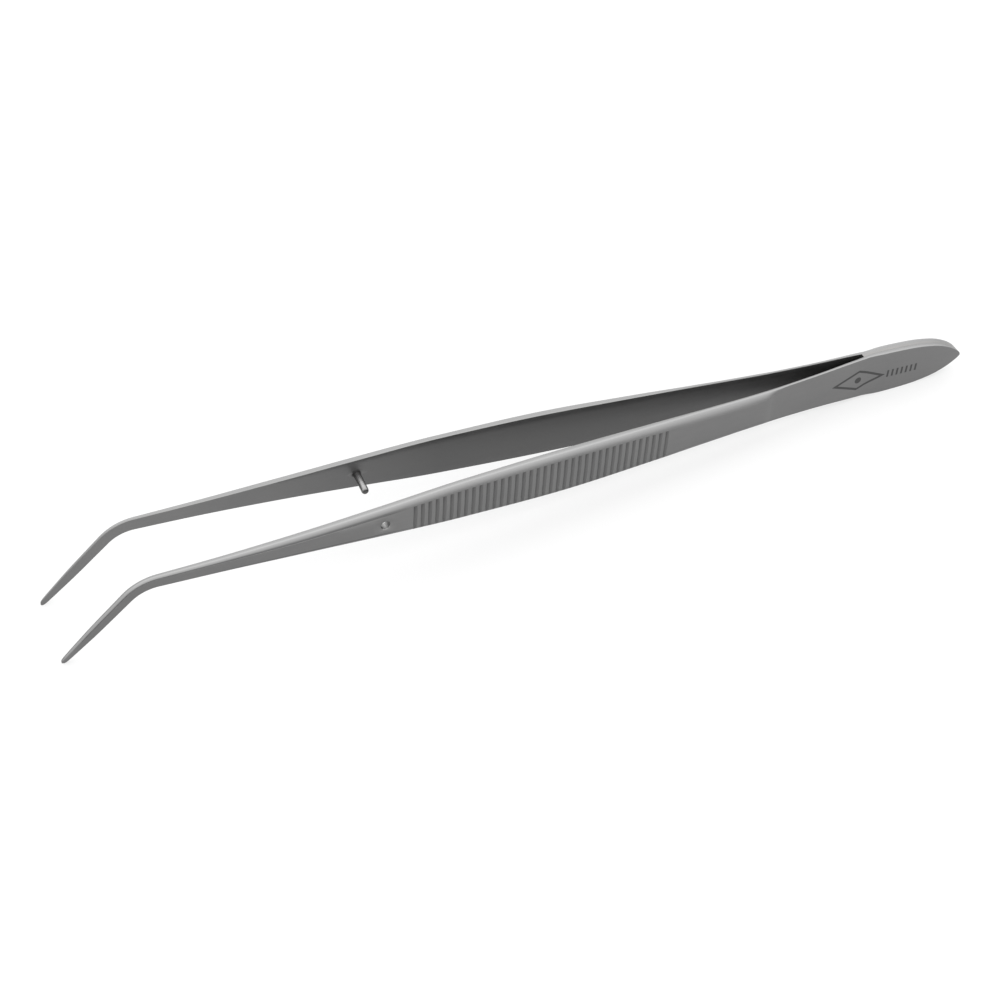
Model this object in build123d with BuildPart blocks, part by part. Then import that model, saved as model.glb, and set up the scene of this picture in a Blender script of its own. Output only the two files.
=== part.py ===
from build123d import *

import os
from math import atan2, cos, pi, radians, sin

# Angled-tip spring tweezers with a guide pin.
#
# Two mirrored stainless leaves, welded together at the heel, are bowed apart
# and bent downwards near their tips.  A pin in the rear leaf enters a hole in
# the front leaf when the leaves are squeezed.
#
# Frame, in millimetres: the tweezers stand on both tips and on the lower edge
# of the heel, all at Z = 0.  +X runs to the heel, +Y to the rear leaf, +Z is
# up.  The origin is the middle of the footprint.
#
# Each leaf is one piece of steel on the real object.  Here it is divided where
# its thin spring zone bends, so that its arm can turn: a rounded end on the
# arm sits in a hollow of the same centre on the heel half.

# --- along the leaf, measured from the point of the heel -------------------
LEAF_LENGTH = 159.5        # along the middle of the leaf, round its bend
GAP_ROOT = 16.5            # the leaves part company here
FLEX_AT = 28.5             # middle of the spring zone, where the arm turns
SPRING_END = 36.0          # the thin spring zone ends, the forged arm begins
BEND_START = 140.1
BEND_RADIUS = 6.8
BEND_ANGLE = 43.4          # the jaws point this far below the arms
TIP_DROP = 0.09            # lowest point of a jaw below the end of its centreline
PIN_AT = 105.45

# --- across the gap ---------------------------------------------------------
HALF_GAP = 6.13            # middle plane to the inner face, at the jaws
BOW_END = 153.0            # the bow of the leaf has levelled out here
WELD_HALF = 0.06           # half the thickness of the weld seam
WELD_INSET = 0.03          # the seam stays this far inside the heel's edge
WELD_END = 19.3            # the weld fills the root of the gap up to here
HEEL_THICKNESS = 0.95
SPRING_THICKNESS = 0.56

# --- heel outline -----------------------------------------------------------
# Distance from the point of the heel and half width there.
HEEL_OUTLINE = [
    (0.0, 0.0),
    (2.5, 2.0),
    (5.5, 3.2),
    (10.0, 3.9),
    (15.5, 4.1),
    (20.5, 3.93),
    (FLEX_AT, 3.5),
]
HEEL_HALF_WIDTH = max(width for along, width in HEEL_OUTLINE)
FLEX_HALF_WIDTH = HEEL_OUTLINE[-1][1]
SPRING_TAPER = 0.045       # half width lost per millimetre of the spring zone
HEEL_REST = (11.2, 3.98)   # point of the heel's edge that stands on the surface
HEEL_NOSE_RADIUS = 0.45

# --- joint between heel half and arm half of a leaf ------------------------
JOINT_PLAY = 0.06

# --- guide pin and its hole --------------------------------------------------
PIN_UP = -0.2              # from the middle of the leaf's width
PIN_DIAMETER = 1.15
PIN_REACH = 4.25           # from the inner face of the rear leaf
PIN_NOSE = 0.4             # rounding of the free end
RIVET_DIAMETER = 0.9       # the pin's shank, riveted through the rear leaf
RIVET_LENGTH = 1.42
PIN_HOLE_DIAMETER = 1.45
PIN_HOLE_CHAMFER = 0.12

# --- grip grooves -------------------------------------------------------------
GROOVE_COUNT = 37
GROOVE_PITCH = 1.2
GROOVE_FIRST = 57.4
GROOVE_RADIUS = 0.45
GROOVE_DEPTH = 0.18

# Sections of the forged arm: distance from the heel, half width, thickness of
# the edge, rise and width of the bevel on the outer face.
STEP_SECTIONS = [
    (SPRING_END, 3.30, 0.50, 0.06, 0.15),
    (38.7, 3.29, 0.67, 0.54, 1.05),
]
ARM_SECTIONS = [
    (38.7, 3.29, 0.67, 0.54, 1.05),
    (55.0, 3.62, 0.75, 0.66, 1.08),
    (75.0, 3.93, 0.88, 0.68, 1.02),
    (92.0, 3.56, 0.75, 0.66, 1.00),
    (105.5, 2.68, 0.82, 0.58, 0.92),
    (118.0, 1.85, 0.78, 0.50, 0.75),
    (131.0, 1.23, 0.62, 0.35, 0.42),
    (BEND_START, 1.00, 0.52, 0.30, 0.30),
]
# The same for the jaw, its distances measured from the start of the bend.
JAW_SECTIONS = [
    (0.0, 1.00, 0.52, 0.30, 0.30),
    (2.6, 0.93, 0.48, 0.30, 0.27),
    (BEND_RADIUS * radians(BEND_ANGLE), 0.89, 0.45, 0.30, 0.24),
    (12.0, 0.79, 0.40, 0.28, 0.22),
    (16.0, 0.60, 0.36, 0.24, 0.20),
    (18.2, 0.42, 0.32, 0.18, 0.17),
    (LEAF_LENGTH - BEND_START - 0.1, 0.21, 0.27, 0.12, 0.10),
]
CROWN = 0.10               # swell of the outer face between its bevels


# --- shape of the leaf ---------------------------------------------------------
def half_gap(distance):
    """Middle plane to the inner face: the leaf is bowed to one large radius."""
    to_end = (BOW_END - distance) / (BOW_END - GAP_ROOT)
    return HALF_GAP * (1 - to_end**2)


def gap_slope(distance):
    """How steeply the inner face leaves the middle plane."""
    return 2 * HALF_GAP * (BOW_END - distance) / (BOW_END - GAP_ROOT) ** 2


def centreline(distance):
    """Along, down and turn of the leaf's middle, straight and then round the bend."""
    past = distance - BEND_START
    arc = BEND_RADIUS * radians(BEND_ANGLE)
    if past <= 0:
        return distance, 0.0, 0.0
    turn = min(past, arc) / BEND_RADIUS
    beyond = max(past - arc, 0.0)
    along = BEND_START + BEND_RADIUS * sin(turn) + beyond * cos(turn)
    down = BEND_RADIUS * (1 - cos(turn)) + beyond * sin(turn)
    return along, down, turn


# --- how the tweezers stand -----------------------------------------------------
TIP_ALONG, TIP_DOWN, TIP_TURN = centreline(LEAF_LENGTH)
REST_ALONG, REST_DOWN = HEEL_REST
TILT = atan2(TIP_DOWN + TIP_DROP - REST_DOWN, TIP_ALONG - REST_ALONG)
HEEL_X = (TIP_ALONG * cos(TILT) + TIP_DOWN * sin(TILT)) / 2
HEEL_Z = REST_DOWN * cos(TILT) - REST_ALONG * sin(TILT)
LEAF_AXIS = Vector(-cos(TILT), 0, sin(TILT))
LEAF_UP = Vector(sin(TILT), 0, cos(TILT))
OUTWARD = Vector(0, 1, 0)

# Local x runs from heel to tips, local y up the width, local z outwards.
leaf_plane = Plane(origin=(HEEL_X, 0, HEEL_Z), x_dir=LEAF_AXIS, z_dir=OUTWARD)
# Local x runs from heel to tips, local y outwards: the leaf seen from below.
side_plane = Plane(origin=(HEEL_X, 0, HEEL_Z), x_dir=LEAF_AXIS, z_dir=-LEAF_UP)
FLEX_Y = half_gap(FLEX_AT) + SPRING_THICKNESS / 2


def section_plane(distance, height):
    """Plane across the leaf: local x outwards from the given height."""
    along, down, turn = centreline(distance)
    middle = leaf_plane.from_local_coords((along, -down, height))
    tangent = LEAF_AXIS * cos(turn) - LEAF_UP * sin(turn)
    return Plane(origin=middle, x_dir=OUTWARD, z_dir=tangent)


def pin_plane():
    """Plane on the rear leaf's inner face, its normal along the pin."""
    foot = leaf_plane.from_local_coords((PIN_AT, PIN_UP, half_gap(PIN_AT)))
    return Plane(origin=foot, x_dir=LEAF_UP, z_dir=LEAF_AXIS * gap_slope(PIN_AT) - OUTWARD)


def heel_face(inset):
    """Outline of the heel half, drawn in from its edge by the inset."""
    nose, *points = HEEL_OUTLINE
    upper = [(along, width - inset) for along, width in points]
    end, width = upper[-1]
    with BuildSketch(leaf_plane) as outline:
        with BuildLine():
            Spline((inset, nose[1]), *upper)
            mirror(about=Plane.XZ)
            Line((end, width), (end, -width))
        make_face()
    return outline.sketch.face()


def leaf_section(plane, half_width, edge, rise, bevel):
    """Section of the forged leaf: flat inside, bevelled and crowned outside."""
    top = edge + rise
    flat = half_width - bevel
    with BuildSketch(plane) as section:
        with BuildLine():
            Polyline(
                (top, -flat),
                (edge, -half_width),
                (0, -half_width),
                (0, half_width),
                (edge, half_width),
                (top, flat),
            )
            ThreePointArc((top, flat), (top + CROWN * flat / HEEL_HALF_WIDTH, 0), (top, -flat))
        make_face()
    return section.sketch.face()


def arm_section(distance, half_width, edge, rise, bevel):
    """Section of the leaf at a distance from the heel."""
    plane = section_plane(distance, half_gap(centreline(distance)[0]))
    return leaf_section(plane, half_width, edge, rise, bevel)


def outer_height(distance):
    """Outer face above the middle plane, between the sections of the arm."""
    for before, after in zip(ARM_SECTIONS, ARM_SECTIONS[1:]):
        if before[0] <= distance <= after[0]:
            share = (distance - before[0]) / (after[0] - before[0])
            rear = before[2] + before[3]
            front = after[2] + after[3]
            return half_gap(distance) + rear + share * (front - rear) + CROWN
    raise ValueError(f"no arm section at {distance}")


def groove_centres():
    """Centres of the grooves' round bottoms, in the leaf's side view."""
    places = [GROOVE_FIRST + number * GROOVE_PITCH for number in range(GROOVE_COUNT)]
    return [(place, outer_height(place) + GROOVE_RADIUS - GROOVE_DEPTH) for place in places]


# --- heel half of a leaf ------------------------------------------------------------
ROOT = GAP_ROOT + WELD_HALF / gap_slope(GAP_ROOT)
ROOT_SLOPE = (half_gap(FLEX_AT) - WELD_HALF) / (FLEX_AT - ROOT)

with BuildPart() as rear_heel:
    extrude(heel_face(0), amount=HALF_GAP, dir=OUTWARD)
    with BuildSketch(side_plane):
        with BuildLine():
            Polyline(
                (FLEX_AT, half_gap(FLEX_AT)),
                (ROOT, WELD_HALF),
                (0, WELD_HALF),
                (0, WELD_HALF + HEEL_THICKNESS),
                (GAP_ROOT + 1, WELD_HALF + HEEL_THICKNESS),
                (GAP_ROOT + 5, half_gap(GAP_ROOT + 5) + SPRING_THICKNESS),
                (FLEX_AT, half_gap(FLEX_AT) + SPRING_THICKNESS),
                (FLEX_AT, half_gap(FLEX_AT)),
            )
        make_face()
        with Locations((FLEX_AT, FLEX_Y)):
            Circle(SPRING_THICKNESS / 2 + JOINT_PLAY, mode=Mode.SUBTRACT)
    extrude(amount=HEEL_HALF_WIDTH + 1, both=True, mode=Mode.INTERSECT)
    nose = rear_heel.edges().filter_by(Axis.Y).sort_by(Axis.X)[-1]
    fillet(nose, HEEL_NOSE_RADIUS)

# --- weld: a seam through the heel, thickening to fill the root of the gap --------------
WELD_END_HALF = WELD_HALF + ROOT_SLOPE * (WELD_END - ROOT)

with BuildPart() as heel_weld:
    extrude(heel_face(WELD_INSET), amount=HALF_GAP, dir=OUTWARD, both=True)
    with BuildSketch(side_plane):
        with BuildLine():
            Polyline(
                (0, WELD_HALF),
                (ROOT, WELD_HALF),
                (WELD_END, WELD_END_HALF),
                (WELD_END, -WELD_END_HALF),
                (ROOT, -WELD_HALF),
                (0, -WELD_HALF),
                close=True,
            )
        make_face()
    extrude(amount=HEEL_HALF_WIDTH + 1, both=True, mode=Mode.INTERSECT)

# --- arm half of a leaf ------------------------------------------------------------------
with BuildPart() as spring_strip:
    with BuildSketch(side_plane):
        with BuildLine():
            Polyline(
                (FLEX_AT, half_gap(FLEX_AT)),
                (SPRING_END, half_gap(SPRING_END)),
                (SPRING_END, half_gap(SPRING_END) + SPRING_THICKNESS),
                (FLEX_AT, half_gap(FLEX_AT) + SPRING_THICKNESS),
                (FLEX_AT, half_gap(FLEX_AT)),
            )
        make_face()
        with Locations((FLEX_AT, FLEX_Y)):
            Circle(SPRING_THICKNESS / 2)
    extrude(amount=HEEL_HALF_WIDTH, both=True)
    with BuildSketch(leaf_plane):
        with BuildLine():
            Polyline(
                (FLEX_AT - 1, FLEX_HALF_WIDTH + SPRING_TAPER),
                (SPRING_END, STEP_SECTIONS[0][1]),
                (SPRING_END, -STEP_SECTIONS[0][1]),
                (FLEX_AT - 1, -FLEX_HALF_WIDTH - SPRING_TAPER),
                close=True,
            )
        make_face()
    extrude(amount=HALF_GAP, mode=Mode.INTERSECT)

with BuildPart() as forged_step:
    loft(sections=[arm_section(*section) for section in STEP_SECTIONS])

with BuildPart() as forged_arm:
    loft(sections=[arm_section(*section) for section in ARM_SECTIONS])

with BuildPart() as jaw:
    loft(sections=[arm_section(BEND_START + past, *size) for past, *size in JAW_SECTIONS])

with BuildPart() as arm_blank:
    add(spring_strip)
    add(forged_step)
    add(forged_arm)
    add(jaw)
    with BuildSketch(side_plane):
        with Locations(*groove_centres()):
            Circle(GROOVE_RADIUS)
    extrude(amount=HEEL_HALF_WIDTH, both=True, mode=Mode.SUBTRACT)

# --- rear arm, drilled for the pin's shank ------------------------------------------------
with BuildPart() as rear_arm:
    add(arm_blank)
    with BuildSketch(pin_plane()):
        Circle(RIVET_DIAMETER / 2)
    extrude(amount=-2 * RIVET_LENGTH, mode=Mode.SUBTRACT)

# --- guide pin, riveted into the rear leaf ------------------------------------------------
with BuildPart() as guide_pin:
    with BuildSketch(pin_plane()):
        Circle(PIN_DIAMETER / 2)
    extrude(amount=PIN_REACH)
    fillet(guide_pin.edges().group_by(Axis.Y)[0], PIN_NOSE)
    with BuildSketch(pin_plane()):
        Circle(RIVET_DIAMETER / 2)
    extrude(amount=-RIVET_LENGTH)

# --- front leaf: the rear one mirrored, its arm drilled for the free end of the pin --------
with BuildPart() as front_heel:
    mirror(rear_heel.part, about=Plane.XZ)

with BuildPart() as drilled_blank:
    add(arm_blank)
    with BuildSketch(pin_plane()):
        Circle(PIN_HOLE_DIAMETER / 2)
    extrude(amount=-2 * RIVET_LENGTH, mode=Mode.SUBTRACT)
    rims = drilled_blank.edges().filter_by(
        lambda edge: (edge.center() - pin_plane().origin).length < 2
        and abs(edge.length - pi * PIN_HOLE_DIAMETER) < PIN_HOLE_CHAMFER
    )
    chamfer(rims, PIN_HOLE_CHAMFER)

with BuildPart() as front_arm:
    mirror(drilled_blank.part, about=Plane.XZ)

# --- write every piece ------------------------------------------------------------------
pieces = {
    "front_heel": front_heel,
    "rear_heel": rear_heel,
    "heel_weld": heel_weld,
    "front_arm": front_arm,
    "rear_arm": rear_arm,
    "guide_pin": guide_pin,
}
os.makedirs("parts", exist_ok=True)
for name, piece in pieces.items():
    piece.part.label = name
    export_step(piece.part, f"parts/{name}.step")
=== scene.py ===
from math import atan2, cos, pi, radians, sin, sqrt

import bmesh
import bpy
from mathutils import Matrix, Vector
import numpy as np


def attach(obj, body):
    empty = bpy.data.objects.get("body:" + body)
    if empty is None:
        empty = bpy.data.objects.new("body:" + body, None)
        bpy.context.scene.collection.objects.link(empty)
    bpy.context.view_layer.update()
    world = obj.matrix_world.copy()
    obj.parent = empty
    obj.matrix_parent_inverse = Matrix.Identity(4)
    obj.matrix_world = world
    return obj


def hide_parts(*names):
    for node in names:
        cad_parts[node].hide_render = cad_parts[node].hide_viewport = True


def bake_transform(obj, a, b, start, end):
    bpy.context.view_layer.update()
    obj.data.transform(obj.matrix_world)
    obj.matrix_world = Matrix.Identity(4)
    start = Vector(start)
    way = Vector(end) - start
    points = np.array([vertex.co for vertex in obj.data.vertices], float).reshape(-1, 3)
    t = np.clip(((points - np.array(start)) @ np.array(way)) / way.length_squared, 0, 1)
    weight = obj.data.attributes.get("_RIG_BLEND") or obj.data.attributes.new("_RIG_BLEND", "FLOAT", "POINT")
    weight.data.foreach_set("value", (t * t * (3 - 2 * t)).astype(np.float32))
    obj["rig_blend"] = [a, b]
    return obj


# Looks of the angled-tip spring tweezers: two satin steel leaves, the guide pin and the heel weld.
#
# Every piece is modelled on the bench in millimetres: the point of the heel at the origin, the tips
# towards -X, the rear leaf towards +Y and the leaf's width along Z. It is then set at its place in
# the shared frame, in metres.

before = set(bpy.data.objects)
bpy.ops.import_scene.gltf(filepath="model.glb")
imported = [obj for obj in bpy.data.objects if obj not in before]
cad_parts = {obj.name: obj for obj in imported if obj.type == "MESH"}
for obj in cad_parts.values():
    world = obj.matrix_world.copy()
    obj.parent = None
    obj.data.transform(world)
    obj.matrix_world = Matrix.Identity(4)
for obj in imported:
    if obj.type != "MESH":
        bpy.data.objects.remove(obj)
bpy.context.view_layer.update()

MM = 0.001

# --- line of a leaf; "along" runs from the point of the heel to the tip --------------
LEAF_LENGTH = 159.5
GAP_ROOT = 16.5            # the leaves part here
BOW_END = 153.0            # and stand furthest apart here
HALF_GAP = 6.13
SEAM = 0.06                # half of the weld seam between the two heels
BEND_START = 140.1
BEND_RADIUS = 6.8
BEND_ANGLE = radians(43.4)
BEND_LENGTH = BEND_RADIUS * BEND_ANGLE
HEEL_REST = (11.2, 3.98)   # point of the heel's edge that stands on the surface
TIP_DROP = 0.09
FLEX_START = 20.0          # the spring zone bends between these two
FLEX_END = 37.0

# --- section of a leaf: along, half width, edge, rise and width of the outer rounding ---
SECTIONS = [
    (0.15, 0.08, 0.92, 0.07, 0.03),
    (0.22, 0.30, 0.92, 0.07, 0.05),
    (0.4, 0.53, 0.93, 0.07, 0.06),
    (0.7, 0.82, 0.93, 0.07, 0.07),
    (2.5, 2.03, 0.94, 0.07, 0.07),
    (5.5, 3.20, 0.94, 0.07, 0.07),
    (10.0, 3.90, 0.94, 0.07, 0.07),
    (15.5, 4.10, 0.92, 0.07, 0.07),
    (20.5, 3.93, 0.45, 0.06, 0.06),
    (28.5, 3.50, 0.36, 0.06, 0.06),
    (34.0, 3.34, 0.36, 0.06, 0.06),
    (36.6, 3.29, 0.40, 0.18, 0.34),
    (38.1, 3.29, 0.40, 0.58, 1.05),
    (38.7, 3.29, 0.38, 0.72, 1.22),
    (42.0, 3.32, 0.36, 0.85, 1.32),
    (50.0, 3.50, 0.42, 0.92, 1.34),
    (58.0, 3.68, 0.62, 0.81, 1.18),
    (75.0, 3.93, 0.88, 0.68, 1.02),
    (92.0, 3.56, 0.75, 0.66, 1.00),
    (105.5, 2.68, 0.82, 0.58, 0.92),
    (118.0, 1.85, 0.78, 0.50, 0.75),
    (131.0, 1.23, 0.62, 0.35, 0.42),
    (140.1, 1.00, 0.49, 0.30, 0.30),
    (145.3, 0.89, 0.40, 0.30, 0.24),
    (152.0, 0.79, 0.34, 0.28, 0.22),
    (155.5, 0.62, 0.32, 0.24, 0.20),
    (157.8, 0.49, 0.31, 0.20, 0.18),
    (158.8, 0.40, 0.31, 0.16, 0.16),
    (159.3, 0.28, 0.27, 0.12, 0.12),
    (159.5, 0.13, 0.22, 0.07, 0.05),
]
START_SECTION = (4.1, 0.92, 0.6, 1.0)     # the bar's section before its first station
# The inner face is ground back a little past the root of the gap: along, amount.
RELIEF = [(0, 0), (18.2, 0), (20.0, 0.15), (38.7, 0.14), (66.0, 0), (160.0, 0)]
CORNER = 0.08              # rounding of the inner edges at the widest
CROWN = 0.07               # swell of the outer face at the widest
INNER_CUTS = 5             # points across the inner face
OUTER_CUTS = 7             # points across the outer face
ROUNDING_SEGMENTS = 6
ROUNDING_PROFILE = 0.4     # a little flatter than round
RUN_OUT = 0.14             # the grooves' upper ends rise over twice this length

# --- cross grooves of the grip ------------------------------------------------------
GROOVE_COUNT = 37
GROOVE_PITCH = 1.2
GROOVE_FIRST = 57.4
GROOVE_HALF = 0.31
GROOVE_DEPTH = 0.19

# --- shallow line under the upper rounding, from the pin to the tip -----------------
HOLLOW_FROM = 101.5
HOLLOW_TO = 158.0
HOLLOW_DEPTH = 0.055
HOLLOW_FADE = 4.0          # it runs out over this length

# --- soiled and worn parts, painted shade and painted highlights --------------------
UPPER_SHARE = 0.35         # the grooves' upper ends are shallower by this share
LOWER_PAINTED_SHADE = 0.45          # painted shade along the lower rounding
EDGE_WEAR_AND_HIGHLIGHT = 0.7            # worn outer corners of the edges, brightened as a painted highlight
THIN_EDGE = 0.36           # edges as thin as this get painted shade on their inner side
THIN_RANGE = 0.2

# --- guide pin: place, then distance out from the inner face and radius ---------------
PIN_AT = 105.45
PIN_UP = -0.2              # from the middle of the leaf's width
PIN_PROFILE = [
    (1.50, 0.24), (1.48, 0.36), (1.44, 0.43), (1.38, 0.45), (0.03, 0.45), (0.03, 0.63), (-0.05, 0.63),
    (-0.2, 0.605), (-0.45, 0.58), (-0.65, 0.577), (-3.83, 0.575), (-4.00, 0.55),
    (-4.12, 0.48), (-4.20, 0.38), (-4.245, 0.22), (-4.25, 0.08),
]
PIN_POINTS = 32            # round the pin
BORE_POINTS = 48           # round a hole
HOLE_RADIUS = 0.725        # hole in the front leaf, for the nose of the pin
HOLE_RIM = 0.12
BORE_RADIUS = 0.47         # bore in the rear leaf, for the riveted end
BORE_RIM = 0.05
BORE_REACH = 0.6           # the cutter stands out this far on both sides
NOSE_PAINTED_SHADE = (4.0, 0.25)    # painted shade on the nose past this reach, over this length
FOOT_PAINTED_SHADE = (0.5, 0.9)     # and painted shade on the foot within this reach

# --- weld bead between the heels: along, half thickness ---------------------------------
WELD = [(0.2, 0.20), (1.0, 0.24), (16.6, 0.24), (17.6, 0.24), (18.4, 0.32), (19.3, 0.45)]
WELD_PROUD = 0.006         # it stands this far out of the heel's edge
WELD_STATIONS = [0.2, 0.5, 0.8, 1.2, 1.8, 2.5, 3.3, 4.3, 5.5, 7.0, 8.5, 10.0, 12.0, 14.0]
WELD_STATIONS += [15.5, 16.6, 17.0, 17.6, 18.2, 18.8, 19.3]

# --- etched mark on the front heel, and the steel's tone ---------------------------------
MARK_AT = 20.0             # middle of the lozenge
MARK_UP = -0.3
MARK_LENGTH = 4.6          # from its middle to its points
MARK_HEIGHT = 1.85
MARK_LINE = 0.24
MARK_DOT = 0.62
TICK_FIRST = 8.9
TICK_PITCH = 0.9
TICK_COUNT = 7
TICK_HALF = 0.19
TICK_HEIGHT = 0.72
STEEL = 0.18
INSIDE_PAINTED_SHADE = 0.38    # painted shade of the inner faces, deeper towards the root of the gap where the leaves shade each other

# --- camera, floor and sky ----------------------------------------------------------------
CAMERA_AZIMUTH = radians(-23.4)
CAMERA_ELEVATION = radians(43.73)
CAMERA_DISTANCE = 0.3024
CAMERA_ROLL = radians(0.11)
CAMERA_LENS = 70.89
CAMERA_TARGET = Vector((-0.00816, -0.00493, 0.0052))
FLOOR_SIZE = 4
FLOOR_TONE = 0.15
FLOOR_GLOW = 0.64          # keeps the floor white in every direction
SKY_LOW = 1.0              # the sky's strength at the horizon
SKY_RISE = 2.1             # and what it gains overhead


# --- line and section --------------------------------------------------------------------
def half_gap(along):
    """Middle plane to the inner face of a leaf."""
    return HALF_GAP * (1 - ((BOW_END - along) / (BOW_END - GAP_ROOT)) ** 2)


def centreline(along):
    """Place of the leaf's middle at a distance along it, and its turn downwards."""
    past = max(along - BEND_START, 0.0)
    turn = min(past / BEND_RADIUS, BEND_ANGLE)
    beyond = max(past - BEND_LENGTH, 0.0)
    straight = min(along, BEND_START) + BEND_RADIUS * sin(turn) + beyond * cos(turn)
    drop = BEND_RADIUS * (1 - cos(turn)) + beyond * sin(turn)
    return Vector((-straight, inner_face(straight), -drop)), turn


def slope(rows, place, column):
    """Slope of a column at a row, level at its peaks, so that the curve never overshoots."""
    if place in (0, len(rows) - 1):
        return 0.0
    before, here, after = rows[place - 1], rows[place], rows[place + 1]
    first = (here[column] - before[column]) / (here[0] - before[0])
    second = (after[column] - here[column]) / (after[0] - here[0])
    return 2 * first * second / (first + second) if first * second > 0 else 0.0


def measures(rows, along):
    """The measures of a section between the rows of its table."""
    place = max(row for row in range(len(rows) - 1) if rows[row][0] <= along)
    first, last = rows[place], rows[place + 1]
    step = last[0] - first[0]
    t = (along - first[0]) / step
    values = []
    for column in range(1, len(first)):
        rise = last[column] - first[column]
        start = slope(rows, place, column) * step if place else rise
        end = slope(rows, place + 1, column) * step
        bow = 3 * rise - 2 * start - end + t * (start + end - 2 * rise)
        values.append(first[column] + t * (start + t * bow))
    return values


def inner_face(along):
    """Middle plane to the inner face, along the weld and past it."""
    if along < GAP_ROOT:
        return SEAM
    (relief,) = measures(RELIEF, along)
    return max(half_gap(along), SEAM) + relief


def groove_depth(along):
    """Depth of the round-bottomed grooves at a distance along the leaf."""
    nearest = min(max(round((along - GROOVE_FIRST) / GROOVE_PITCH), 0), GROOVE_COUNT - 1)
    off = abs(along - GROOVE_FIRST - nearest * GROOVE_PITCH)
    if off >= GROOVE_HALF:
        return 0.0
    radius = (GROOVE_HALF**2 + GROOVE_DEPTH**2) / (2 * GROOVE_DEPTH)
    return sqrt(radius**2 - off**2) - radius + GROOVE_DEPTH


def hollow_depth(along):
    """Depth of the shallow line at a distance along the leaf."""
    ends = min(along - HOLLOW_FROM, HOLLOW_TO - along) / HOLLOW_FADE
    return HOLLOW_DEPTH * min(max(ends, 0.0), 1.0)


# --- bench helpers ------------------------------------------------------------------------
def deselect_all():
    bpy.ops.object.select_all(action="DESELECT")


def take_up(piece):
    """Makes a piece the only selected one."""
    deselect_all()
    piece.select_set(True)
    bpy.context.view_layer.objects.active = piece


def choose(mesh, wanted):
    """Selects the vertices of an edited mesh whose place is wanted."""
    for vert in mesh.verts:
        vert.select_set(wanted(vert.co))
    mesh.select_flush_mode()


def finish_mesh(piece, sharp=38):
    """Closes the edit: faces outward, rounded shading up to an angle in degrees."""
    bpy.ops.mesh.select_all(action="SELECT")
    bpy.ops.mesh.normals_make_consistent(inside=False)
    bpy.ops.object.mode_set(mode="OBJECT")
    take_up(piece)
    bpy.ops.object.shade_smooth_by_angle(angle=radians(sharp))


def cut(piece, cutter):
    """Takes the cutter's shape out of the piece."""
    take_up(piece)
    modifier = piece.modifiers.new("cut", "BOOLEAN")
    modifier.object = cutter
    modifier.solver = "EXACT"
    bpy.ops.object.modifier_apply(modifier=modifier.name)
    bpy.data.objects.remove(cutter)


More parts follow.
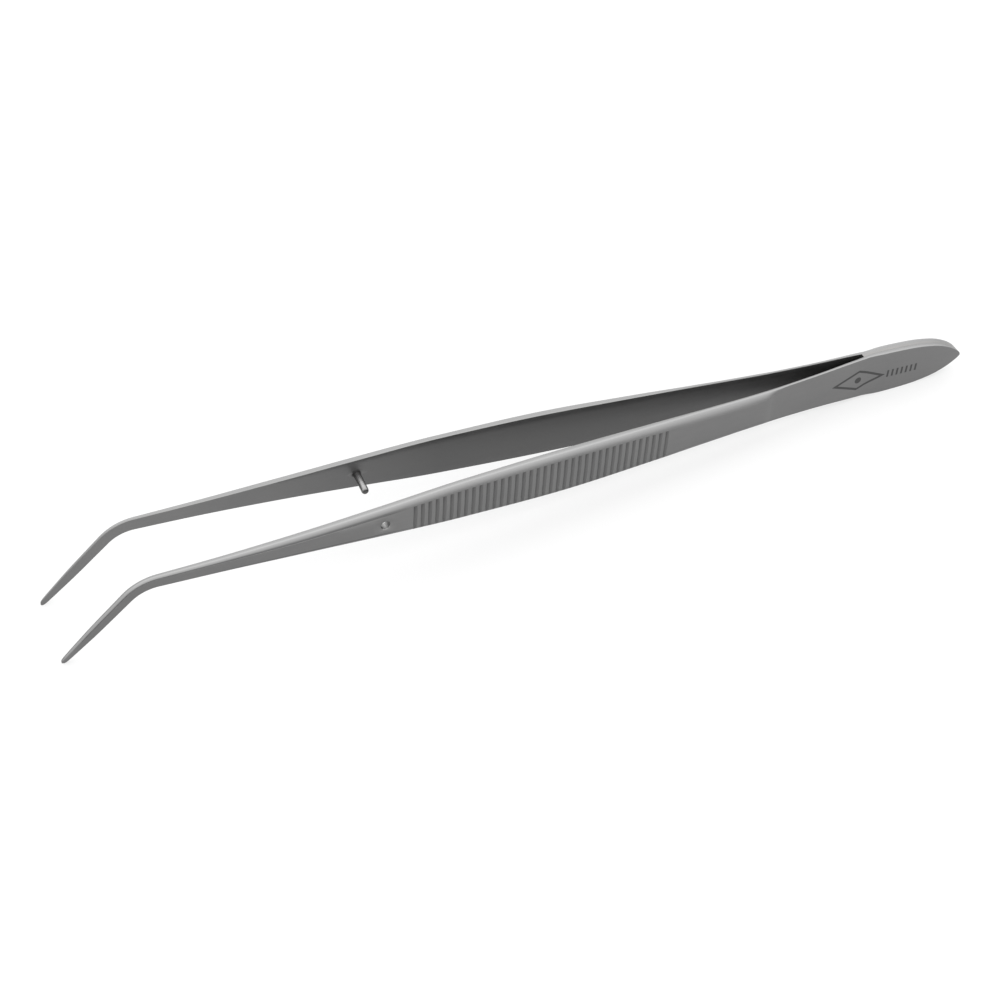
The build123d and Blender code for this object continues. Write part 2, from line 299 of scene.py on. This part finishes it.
# --- drawing out a bar ------------------------------------------------------------------------
class Bar:
    """A bar drawn out from station to station, its section reshaped at each one."""

    def __init__(self, name, half_width, edge, rise, bevel):
        deselect_all()
        bpy.ops.mesh.primitive_plane_add(size=1)
        self.piece = bpy.context.object
        self.piece.name = name
        self.size = (half_width, edge, rise, bevel)
        bpy.ops.object.mode_set(mode="EDIT")
        bpy.ops.transform.rotate(value=pi / 2, orient_axis="Y", center_override=(0, 0, 0))
        bpy.ops.transform.resize(value=(1, edge + rise, 2 * half_width), center_override=(0, 0, 0))
        bpy.ops.transform.translate(value=(0, (edge + rise) / 2, 0))
        self.mesh = bmesh.from_edit_mesh(self.piece.data)
        self.round_corners()
        self.divide_sides()
        layers = self.mesh.verts.layers.float
        self.soil, self.wear, self.inside = (layers.new(name) for name in ("soil", "wear", "inside"))
        cap = self.mesh.faces[:][0]
        self.roles = [self.role(vert.co) for vert in cap.verts]
        cap.select_set(True)
        self.centre, self.turn = Vector(), 0.0
        self.groove, self.line = 0.0, 0.0
        self.started = False

    def round_corners(self):
        """Small roundings on the inside, broad ones on the outside."""
        half_width, edge, rise, bevel = self.size
        choose(self.mesh, lambda co: co.y < edge)
        bpy.ops.mesh.bevel(offset=CORNER, segments=2, affect="VERTICES")
        choose(self.mesh, lambda co: co.y > edge)
        bpy.ops.mesh.bevel(
            offset=rise, segments=ROUNDING_SEGMENTS, profile=ROUNDING_PROFILE, affect="VERTICES"
        )
        for side in (1, -1):
            choose(self.mesh, lambda co: co.y > edge - 0.001 and co.z * side > 0)
            pivot = (0, 0, side * half_width)
            bpy.ops.transform.resize(value=(1, 1, bevel / rise), center_override=pivot)

    def divide_sides(self):
        """Points across the inner and the outer face, the outermost ones close to the rounding."""
        half_width, edge, rise, bevel = self.size
        flat = half_width - bevel
        top = edge + rise - 0.001
        choose(self.mesh, lambda co: co.y < 0.001)
        bpy.ops.mesh.subdivide(number_cuts=INNER_CUTS)
        for side in (1, -1):
            choose(self.mesh, lambda co: co.z * side > half_width - 0.001)
            bpy.ops.mesh.subdivide(number_cuts=1)
        choose(self.mesh, lambda co: co.y > top)
        bpy.ops.mesh.subdivide(number_cuts=OUTER_CUTS)
        for share, inset in ((0.75, RUN_OUT), (0.5, 2 * RUN_OUT)):
            choose(self.mesh, lambda co: co.y > top and abs(abs(co.z) - share * flat) < 0.01)
            spread = (flat - inset) / (share * flat)
            bpy.ops.transform.resize(value=(1, 1, spread), center_override=(0, 0, 0))
        for share, swell in ((0.25, 0.8), (0, 1.0)):
            choose(self.mesh, lambda co: co.y > top and abs(abs(co.z) - share * flat) < 0.01)
            bpy.ops.transform.translate(value=(0, swell * CROWN, 0))

    def role(self, co):
        """Part of the section that a point of it belongs to."""
        half_width, edge, rise, bevel = self.size
        if co.y < edge + 0.001:
            return "edge"
        flat = half_width - bevel
        if co.z < 0.001 - flat:
            height = (co.y - edge) / rise
            return "lower" if height < 0.75 else "lower half" if height < 0.9 else "lower deep"
        if co.z > flat - 0.001:
            return "upper"
        if abs(co.z) > flat - RUN_OUT - 0.01:
            return "upper line" if co.z > 0 else "lower line"
        return "face"

    def among(self, *roles):
        """Selects the points of the newest section that have one of these roles."""
        for vert, role in zip(self.ring, self.roles):
            vert.select = role in roles

    def draw(self, centre, turn, size, groove=0.0, line=0.0):
        """Draws the bar out to a new station and gives the section its measures there."""
        if self.started:
            bpy.ops.mesh.extrude_region_move()
        self.started = True
        cap = next(face for face in reversed(self.mesh.faces[:]) if face.select)
        self.ring = list(cap.verts)
        bpy.ops.transform.translate(value=centre - self.centre)
        if turn != self.turn:
            bpy.ops.transform.rotate(value=turn - self.turn, orient_axis="Y", center_override=centre)
        self.sink_lower_ends(-self.groove)
        cap.select_set(True)
        half_width, edge, rise, bevel = size
        old_width, old_edge, old_rise, old_bevel = self.size
        wider, thicker = half_width / old_width, edge / old_edge
        bpy.ops.transform.resize(value=(wider, thicker, wider), center_override=centre)
        upward = Vector((-sin(turn), 0, cos(turn)))
        across, out = bevel / old_bevel / wider, rise / old_rise / thicker
        for roles, side in ((["upper"], 1), (["lower", "lower half", "lower deep"], -1)):
            self.among(*roles)
            corner = centre + upward * side * half_width + Vector((0, edge, 0))
            bpy.ops.transform.resize(value=(across, out, across), center_override=corner)
        self.among("face", "upper line", "lower line")
        across = (half_width - bevel) / (old_width - old_bevel) / wider
        bpy.ops.transform.resize(value=(across, 1, across), center_override=centre)
        lift = edge + rise - (old_edge + old_rise) * thicker
        bpy.ops.transform.translate(value=(0, lift - groove + self.groove * thicker, 0))
        self.among("upper line")
        raised = UPPER_SHARE * groove - line
        bpy.ops.transform.translate(value=(0, raised - self.line * thicker, 0))
        self.sink_lower_ends(groove)
        self.centre, self.turn, self.size = centre, turn, size
        self.groove, self.line = groove, raised
        self.mark_points(centre, groove, line)
        cap.select_set(True)

    def sink_lower_ends(self, groove):
        """Lets a groove run out over the lower rounding."""
        for role, share in (("lower deep", 1), ("lower half", 0.5)):
            self.among(role)
            bpy.ops.transform.translate(value=(0, -share * groove, 0))

    def mark_points(self, centre, groove, line):
        """Notes each point's painted shade and dirt, the painted highlight on worn corners, and the painted
        shade that deepens with how deep the point lies between the leaves.
        """
        # painted shade between the leaves, deeper where the gap narrows
        depth = 1 - min(centre.y / HALF_GAP, 1.0)
        shade = min(5 * depth, 1.0) * (1 - 0.25 * depth)
        _, edge, rise, _ = self.size
        thin = max(1 - (edge - THIN_EDGE) / THIN_RANGE, 0.0)
        for vert, role in zip(self.ring, self.roles):
            out = vert.co.y - centre.y
            # painted shade on the rounding beside the shallow line
            hollow_line_shade = line / HOLLOW_DEPTH if out > edge + 0.9 * rise else 0.0
            # dirt in the grooves together with painted shade there; painted shade only along the shallow
            # line and the lower rounding
            vert[self.soil] = {
                "face": groove / GROOVE_DEPTH + 0.25 * line / HOLLOW_DEPTH,
                "upper line": 1.7 * groove / GROOVE_DEPTH + 1.5 * line / HOLLOW_DEPTH,
                "lower line": 1.2 * groove / GROOVE_DEPTH,
                "upper": hollow_line_shade,
                "lower deep": max(hollow_line_shade, 0.3) + 0.9 * groove / GROOVE_DEPTH,
                "lower half": max(hollow_line_shade, LOWER_PAINTED_SHADE) + 0.8 * groove / GROOVE_DEPTH,
                "lower": max(hollow_line_shade, 0.5) + 0.4 * groove / GROOVE_DEPTH,
            }.get(role, 0.0)
            # painted highlight on the worn outer corners of the edges
            vert[self.wear] = EDGE_WEAR_AND_HIGHLIGHT if role == "edge" and out > 0.9 * edge else 0.0
            # painted shade on the inner face towards the root, and on the inner side of thin edges
            vert[self.inside] = shade if out < 0.0001 else thin if out < 0.3 * edge else 0.0


# --- leaf -----------------------------------------------------------------------------------
def stations():
    """Distances along the leaf at which it gets a section, closer where more happens."""
    marks = [0.15, 0.18, 0.22, 0.3, 0.4, 0.55, 0.8, 1.2, 1.8, 2.5, 3.3, 4.3, 5.5, 7.0, 8.5]
    marks += [10.0, 12.0, 14.0, 15.5, 16.5, 17.5, 18.5, 19.5, 20.5, 22.0, 24.0, 26.0, 28.5]
    marks += [31.0, 33.0, 34.0, 35.0, 35.8, 36.4, 36.9, 37.3, 37.6, 37.9, 38.2, 38.5, 38.8]
    marks += [39.2, 40.0, 42.0, 44.0, 46.0, 49.0, 52.0, 55.0]
    for number in range(GROOVE_COUNT):
        centre = GROOVE_FIRST + number * GROOVE_PITCH
        marks += [centre + GROOVE_HALF * share for share in (-1, -0.84, -0.5, 0, 0.5, 0.84, 1)]
    marks += [101.5 + 2.0 * number for number in range(20)]
    marks += [BEND_START + BEND_LENGTH * number / 10 for number in range(11)]
    marks += [147.0, 149.0, 151.0, 153.0, 154.5, 156.0, 157.0, 157.8, 158.4, 158.8, 159.1]
    return marks + [159.3, 159.4, 159.46, LEAF_LENGTH - 0.002]


def draw_leaf(name):
    """The rear leaf, drawn out from the point of its heel to its tip."""
    bar = Bar(name, *START_SECTION)
    for along in stations():
        centre, turn = centreline(along)
        size = measures(SECTIONS, along)
        bar.draw(centre, turn, size, groove_depth(along), hollow_depth(along))
    finish_mesh(bar.piece)
    return bar.piece


# --- pin, bores and weld ----------------------------------------------------------------------
def turned(name, profile, points=PIN_POINTS):
    """A turned piece: a disc drawn out along the profile, square to the rear leaf at the pin."""
    deselect_all()
    start, radius = profile[0]
    bpy.ops.mesh.primitive_circle_add(
        vertices=points, radius=radius, fill_type="NGON",
        rotation=(pi / 2, 0, 0), location=(0, start, 0),
    )
    piece = bpy.context.object
    piece.name = name
    bpy.ops.object.transform_apply(location=True, rotation=True, scale=True)
    bpy.ops.object.mode_set(mode="EDIT")
    for place, size in profile[1:]:
        bpy.ops.mesh.extrude_region_move()
        bpy.ops.transform.translate(value=(0, place - start, 0))
        factor = size / radius
        bpy.ops.transform.resize(value=(factor, 1, factor), center_override=(0, place, 0))
        start, radius = place, size
    bpy.ops.mesh.select_all(action="SELECT")
    lean = atan2(2 * HALF_GAP * (BOW_END - PIN_AT), (BOW_END - GAP_ROOT) ** 2)
    bpy.ops.transform.rotate(value=lean, orient_axis="Z", center_override=(0, 0, 0))
    bpy.ops.transform.translate(value=(-PIN_AT, half_gap(PIN_AT), PIN_UP))
    finish_mesh(piece)
    return piece


def bore(radius, rim, thickness):
    """Cutter for a hole through a leaf at the pin, both its rims broken."""
    wide = radius + rim + BORE_REACH
    return turned("cutter", [
        (-BORE_REACH, wide), (rim, radius),
        (thickness - rim, radius), (thickness + BORE_REACH, wide),
    ], points=BORE_POINTS)


def draw_weld(name):
    """Weld bead along the heel, ground flush with both leaves."""
    deselect_all()
    bpy.ops.mesh.primitive_plane_add(size=2)
    piece = bpy.context.object
    piece.name = name
    bpy.ops.object.mode_set(mode="EDIT")
    bpy.ops.transform.rotate(value=pi / 2, orient_axis="Y", center_override=(0, 0, 0))
    bpy.ops.mesh.select_all(action="SELECT")
    bpy.ops.mesh.subdivide(number_cuts=1)
    place, old_half, old_width = 0.0, 1.0, 1.0
    for along in WELD_STATIONS:
        half_width = measures(SECTIONS, along)[0] + WELD_PROUD
        (half,) = measures(WELD, along)
        bpy.ops.mesh.extrude_region_move()
        bpy.ops.transform.translate(value=(place - along, 0, 0))
        factors = (1, half / old_half, half_width / old_width)
        bpy.ops.transform.resize(value=factors, center_override=(-along, 0, 0))
        place, old_half, old_width = along, half, half_width
    mesh = bmesh.from_edit_mesh(piece.data)
    choose(mesh, lambda co: co.x > -0.1)
    bpy.ops.mesh.delete(type="VERT")
    choose(mesh, lambda co: co.x > -0.21)
    bpy.ops.mesh.edge_face_add()
    finish_mesh(piece, sharp=60)
    return piece


# --- place in the row's frame -------------------------------------------------------------------
tip = centreline(LEAF_LENGTH)[0]
tilt = atan2(-tip.z + TIP_DROP - HEEL_REST[1], -tip.x - HEEL_REST[0])
heel_point = Vector((
    (-tip.x * cos(tilt) - tip.z * sin(tilt)) / 2,
    0,
    HEEL_REST[1] * cos(tilt) - HEEL_REST[0] * sin(tilt),
))
STAND = Matrix.Scale(MM, 4) @ Matrix.Translation(heel_point) @ Matrix.Rotation(tilt, 4, "Y")


def set_down(piece):
    """Takes a piece from the bench to its place in the row's frame."""
    piece.matrix_world = STAND
    take_up(piece)
    bpy.ops.object.transform_apply(location=True, rotation=True, scale=True)


def duplicate(piece, name):
    take_up(piece)
    bpy.ops.object.duplicate()
    copy = bpy.context.object
    copy.name = name
    return copy


def turn_over(piece):
    """Makes a rear leaf a front one, its faces turned outward again."""
    take_up(piece)
    bpy.ops.object.mode_set(mode="EDIT")
    bpy.ops.mesh.select_all(action="SELECT")
    bpy.ops.transform.resize(value=(1, -1, 1), center_override=(0, 0, 0))
    bpy.ops.mesh.normals_make_consistent(inside=False)
    bpy.ops.object.mode_set(mode="OBJECT")


# --- finishes -----------------------------------------------------------------------------------
class Value:
    """A socket that takes part in arithmetic by adding Math nodes."""

    def __init__(self, finish, socket):
        self.finish, self.socket = finish, socket

    def __add__(self, other):
        return self.finish.math("ADD", self, other)

    def __sub__(self, other):
        return self.finish.math("SUBTRACT", self, other)

    def __mul__(self, other):
        return self.finish.math("MULTIPLY", self, other)

    def __truediv__(self, other):
        return self.finish.math("DIVIDE", self, other)

    def __radd__(self, other):
        return self.finish.math("ADD", other, self)

    def __rsub__(self, other):
        return self.finish.math("SUBTRACT", other, self)

    def __rmul__(self, other):
        return self.finish.math("MULTIPLY", other, self)

    def __abs__(self):
        return self.finish.math("ABSOLUTE", self)

    def below(self, limit, blur):
        """1 well under the limit and 0 well over it, with a soft change between."""
        return self.finish.math("MULTIPLY_ADD", limit - self, 1 / blur, 0.5, use_clamp=True)


class Finish:
    """Nodes of one material or of the studio's surroundings."""

    def __init__(self, owner):
        owner.use_nodes = True
        self.tree = owner.node_tree

    def node(self, kind, settings=None, sockets=None):
        """Adds a node, its settings first, then the values or links of its sockets."""
        node = self.tree.nodes.new(kind)
        for name, value in (settings or {}).items():
            setattr(node, name, value)
        for name, value in (sockets or {}).items():
            self.feed(node.inputs[name], value)
        return node

    def feed(self, socket, value):
        if isinstance(value, Value):
            self.tree.links.new(value.socket, socket)
        else:
            socket.default_value = value

    def math(self, operation, *values, use_clamp=False):
        settings = {"operation": operation, "use_clamp": use_clamp}
        node = self.node("ShaderNodeMath", settings, dict(enumerate(values)))
        return Value(self, node.outputs[0])

    def attribute(self, name):
        return Value(self, self.node("ShaderNodeAttribute", {"attribute_name": name}).outputs["Fac"])

    def noise(self, vector, scale, detail=2.0):
        sockets = {"Vector": vector, "Scale": scale, "Detail": detail}
        return Value(self, self.node("ShaderNodeTexNoise", None, sockets).outputs[0])

    def mapped(self, vector, location=(0, 0, 0), rotation=(0, 0, 0), scale=(1, 1, 1), kind="POINT"):
        sockets = {"Vector": vector, "Location": location, "Rotation": rotation, "Scale": scale}
        node = self.node("ShaderNodeMapping", {"vector_type": kind}, sockets)
        return Value(self, node.outputs[0])

    def split(self, vector):
        node = self.node("ShaderNodeSeparateXYZ", None, {"Vector": vector})
        return [Value(self, socket) for socket in node.outputs]

    def blend(self, factor, first, second):
        """Mixes two colours."""
        sockets = {0: factor, 6: first, 7: second}
        node = self.node("ShaderNodeMix", {"data_type": "RGBA"}, sockets)
        return Value(self, node.outputs[2])

    def bench(self):
        """Place on the piece in bench millimetres."""
        place = Value(self, self.node("ShaderNodeTexCoord").outputs["Object"])
        scale = (MM, MM, MM)
        return self.mapped(place, heel_point * MM, (0, tilt, 0), scale, kind="TEXTURE")

    def surface(self, colour, roughness, height, depth):
        """Joins the metal's colour, roughness and fine relief to its shader."""
        shader = self.tree.nodes["Principled BSDF"]
        shader.inputs["Metallic"].default_value = 1.0
        self.feed(shader.inputs["Base Color"], colour)
        self.feed(shader.inputs["Roughness"], roughness)
        sockets = {"Height": height, "Strength": 1.0, "Distance": depth}
        bump = self.node("ShaderNodeBump", None, sockets)
        self.tree.links.new(bump.outputs[0], shader.inputs["Normal"])


def grey(value, warmth=0.0):
    return (value * (1 + warmth), value, value * (1 - warmth), 1.0)


def maker_mark(finish, place):
    """A lozenge with a dot and a short graduated row, etched in the front heel's outer face."""
    x, y, z = finish.split(place)
    along, up = 0 - x, z - MARK_UP
    lozenge = abs(along - MARK_AT) / MARK_LENGTH + abs(up) / MARK_HEIGHT
    outline = abs(lozenge - 1).below(MARK_LINE / MARK_HEIGHT, 0.03)
    reach = finish.math("SQRT", (along - MARK_AT) * (along - MARK_AT) + up * up)
    dot = reach.below(MARK_DOT, 0.05)
    steps = finish.math("PINGPONG", along - TICK_FIRST, TICK_PITCH / 2)
    within = abs(along - TICK_FIRST - TICK_PITCH * (TICK_COUNT - 1) / 2)
    row = within.below(TICK_PITCH * (TICK_COUNT - 0.5) / 2, 0.02)
    ticks = steps.below(TICK_HALF, 0.04) * abs(up).below(TICK_HEIGHT, 0.06) * row
    strokes = finish.math("MAXIMUM", finish.math("MAXIMUM", outline, dot), ticks)
    return strokes * y.below(-0.5, 0.1)


def satin_steel(name, marked):
    """Blasted and lightly brushed steel: worn edges brighter, partly as a painted highlight; grooves darker
    with dirt and painted shade; painted shade along the shallow line, the lower rounding and towards the
    root.
    """
    material = bpy.data.materials.new(name)
    finish = Finish(material)
    place = finish.bench()
    grain = finish.noise(place, 7.0, 3.0)
    clouds = finish.noise(place, 0.11, 4.0)
    brushing = finish.noise(finish.mapped(place, scale=(0.12, 2.6, 2.6)), 1.0, 3.0)
    soil, wear, inside = (finish.attribute(name) for name in ("soil", "wear", "inside"))
    shade = 0.5 + (clouds - 0.5) * 0.55 + (brushing - 0.5) * 0.4 + (grain - 0.5) * 0.5
    colour = finish.blend(shade, grey(STEEL * 0.86, -0.012), grey(STEEL * 1.14, 0.012))
    # painted shade on the inner faces between the leaves
    colour = finish.blend(inside * INSIDE_PAINTED_SHADE, colour, grey(0.015))
    # dirt and painted shade in the grooves, painted shade along the shallow line and the lower rounding
    colour = finish.blend(soil * 0.42, colour, grey(0.05))
    # worn edges lighter, partly a painted highlight
    colour = finish.blend(wear * 0.35, colour, grey(STEEL * 1.7))
    roughness = 0.41 + (clouds - 0.5) * 0.12 + (brushing - 0.5) * 0.14 + (grain - 0.5) * 0.1
    roughness = roughness + soil * 0.1 - wear * 0.08
    height = grain * 0.7 + brushing * 0.3
    if marked:
        etched = maker_mark(finish, place)
        colour = finish.blend(etched * 0.72, colour, grey(0.03))
        roughness = roughness + etched * 0.12
        height = height - etched * 1.5
    finish.surface(colour, roughness, height, 0.008 * MM)
    return material


def pin_steel():
    """Bright drawn wire, with painted shade at its foot and at its nose."""
    material = bpy.data.materials.new("pin_steel")
    finish = Finish(material)
    place = finish.bench()
    rings = finish.noise(finish.mapped(place, scale=(0.8, 9.0, 0.8)), 1.0, 2.0)
    grain = finish.noise(place, 9.0)
    out = finish.split(place)[1]
    nose, foot = (out.below(half_gap(PIN_AT) - reach, blur) for reach, blur in (NOSE_PAINTED_SHADE, FOOT_PAINTED_SHADE))
    colour = finish.blend(rings * 0.7 + grain * 0.3, grey(0.15), grey(0.27, 0.01))
    # painted shade at the nose and the foot
    colour = finish.blend(nose * 0.6 + (1 - foot) * 0.65, colour, grey(0.03))
    roughness = 0.24 + rings * 0.14 + grain * 0.06
    finish.surface(colour, roughness, rings, 0.006 * MM)
    return material


def weld_steel():
    """Ground weld: cross grinding lines and a faint straw tint."""
    material = bpy.data.materials.new("weld_steel")
    finish = Finish(material)
    place = finish.bench()
    lines = finish.noise(finish.mapped(place, scale=(4.0, 0.5, 0.5)), 1.0, 3.0)
    clouds = finish.noise(place, 0.4, 3.0)
    colour = finish.blend(lines * 0.5 + clouds * 0.5, grey(STEEL * 0.9), grey(STEEL * 1.15, 0.03))
    finish.surface(colour, 0.36 + lines * 0.12, lines, 0.006 * MM)
    return material


# --- camera, light and floor -------------------------------------------------------------------
def aim(thing, place, target):
    thing.location = place
    thing.rotation_euler = (Vector(target) - Vector(place)).to_track_quat("-Z", "Y").to_euler()


def add_camera():
    """Camera on the front side, above the tweezers."""
    back = Vector((
        sin(CAMERA_AZIMUTH) * cos(CAMERA_ELEVATION),
        -cos(CAMERA_AZIMUTH) * cos(CAMERA_ELEVATION),
        sin(CAMERA_ELEVATION),
    ))
    data = bpy.data.cameras.new("camera")
    data.sensor_width = 36
    data.lens = CAMERA_LENS
    data.clip_start = 0.01
    camera = bpy.data.objects.new("camera", data)
    bpy.context.scene.collection.objects.link(camera)
    aim(camera, CAMERA_TARGET + back * CAMERA_DISTANCE, CAMERA_TARGET)
    camera.rotation_euler.rotate_axis("Z", CAMERA_ROLL)
    bpy.context.scene.camera = camera


def add_floor():
    """Pale matt floor under the tips and the heel."""
    deselect_all()
    bpy.ops.mesh.primitive_plane_add(size=FLOOR_SIZE)
    floor = bpy.context.object
    floor.name = "floor"
    paint = bpy.data.materials.new("floor")
    paint.use_nodes = True
    shader = paint.node_tree.nodes["Principled BSDF"]
    shader.inputs["Base Color"].default_value = grey(FLOOR_TONE)
    shader.inputs["Roughness"].default_value = 0.9
    shader.inputs["Emission Color"].default_value = (1, 1, 1, 1)
    shader.inputs["Emission Strength"].default_value = FLOOR_GLOW
    floor.data.materials.append(paint)


def add_sky():
    """Soft white dome, brighter overhead."""
    world = bpy.data.worlds.new("studio")
    bpy.context.scene.world = world
    dome = Finish(world)
    place = Value(dome, dome.node("ShaderNodeTexCoord").outputs["Generated"])
    height = dome.math("MAXIMUM", dome.split(place)[2], 0.0)
    background = world.node_tree.nodes["Background"]
    background.inputs["Color"].default_value = (1, 1, 1, 1)
    dome.feed(background.inputs["Strength"], SKY_LOW + dome.math("SQRT", height) * SKY_RISE)
    bpy.context.scene.view_settings.view_transform = "Standard"


def main():
    """Models the pieces, ties them to their bodies and sets the stage."""
    rear = draw_leaf("rear_leaf")
    front = duplicate(rear, "front_leaf")
    _, edge, rise, _ = measures(SECTIONS, PIN_AT)
    cut(front, bore(HOLE_RADIUS, HOLE_RIM, edge + rise + CROWN / 2))
    cut(rear, bore(BORE_RADIUS, BORE_RIM, edge + rise + CROWN / 2))
    turn_over(front)
    pin = turned("pin", PIN_PROFILE)
    weld = draw_weld("weld_bead")
    for piece in (rear, front, pin, weld):
        set_down(piece)
    for leaf, side in ((rear, "rear"), (front, "front")):
        start, end = (STAND @ Vector((-along, 0, 0)) for along in (FLEX_START, FLEX_END))
        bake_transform(leaf, "heel", side + "_arm", start=start, end=end)
        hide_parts(side + "_heel", side + "_arm")
    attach(pin, "rear_arm")
    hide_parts("guide_pin")
    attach(weld, "heel")
    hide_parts("heel_weld")
    for piece, material in (
        (rear, satin_steel("satin_steel", marked=False)),
        (front, satin_steel("marked_satin_steel", marked=True)),
        (pin, pin_steel()),
        (weld, weld_steel()),
    ):
        piece.data.materials.clear()
        piece.data.materials.append(material)
    add_floor()
    add_sky()
    add_camera()


main()
